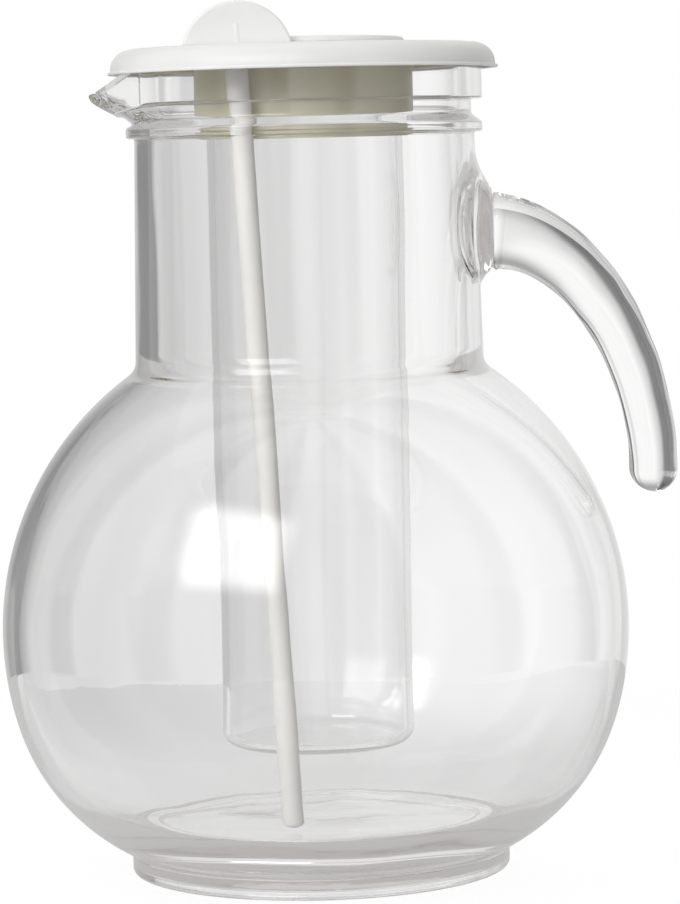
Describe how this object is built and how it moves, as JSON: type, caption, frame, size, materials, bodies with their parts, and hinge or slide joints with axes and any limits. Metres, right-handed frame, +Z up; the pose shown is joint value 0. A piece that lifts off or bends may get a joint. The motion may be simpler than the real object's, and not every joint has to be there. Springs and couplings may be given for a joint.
{
  "type": "glass pitcher with lid",
  "caption": "Round-bellied clear glass pitcher with pouring lip and open hook handle, a lift-off plastic lid, a hanging clear ice tube and a stirrer through the lid.",
  "frame": {"origin": "centre of the foot's resting face", "axes": "+Z up along the jug's axis, +X towards the handle, -X towards the pouring lip, +Y away from the viewer"},
  "size_m": [0.1813, 0.167, 0.2302],
  "materials": {
    "glass": "clear pressed and blown glass, fire-polished",
    "white_plastic": "satin moulded",
    "clear_plastic": "clear moulded"
  },
  "bodies": {
    "jug": {"glass_jug": "glass", "glass_handle": "glass"},
    "lid": {"lid": "white_plastic"},
    "ice_tube": {"ice_tube": "clear_plastic"},
    "stirrer": {"stirrer": "white_plastic"}
  },
  "joints": [
    {"name": "lid_lift", "type": "slide", "parent": "jug", "child": "lid", "axis": [0, 0, 1], "range_m": [0, 0.21]},
    {"name": "tube_pull", "type": "slide", "parent": "lid", "child": "ice_tube", "axis": [0, 0, -1], "range_m": [0, 0.02]},
    {"name": "stirrer_lift", "type": "slide", "parent": "lid", "child": "stirrer", "axis": [-0.0471, 0, 0.9989], "range_m": [0, 0.2]}
  ]
}
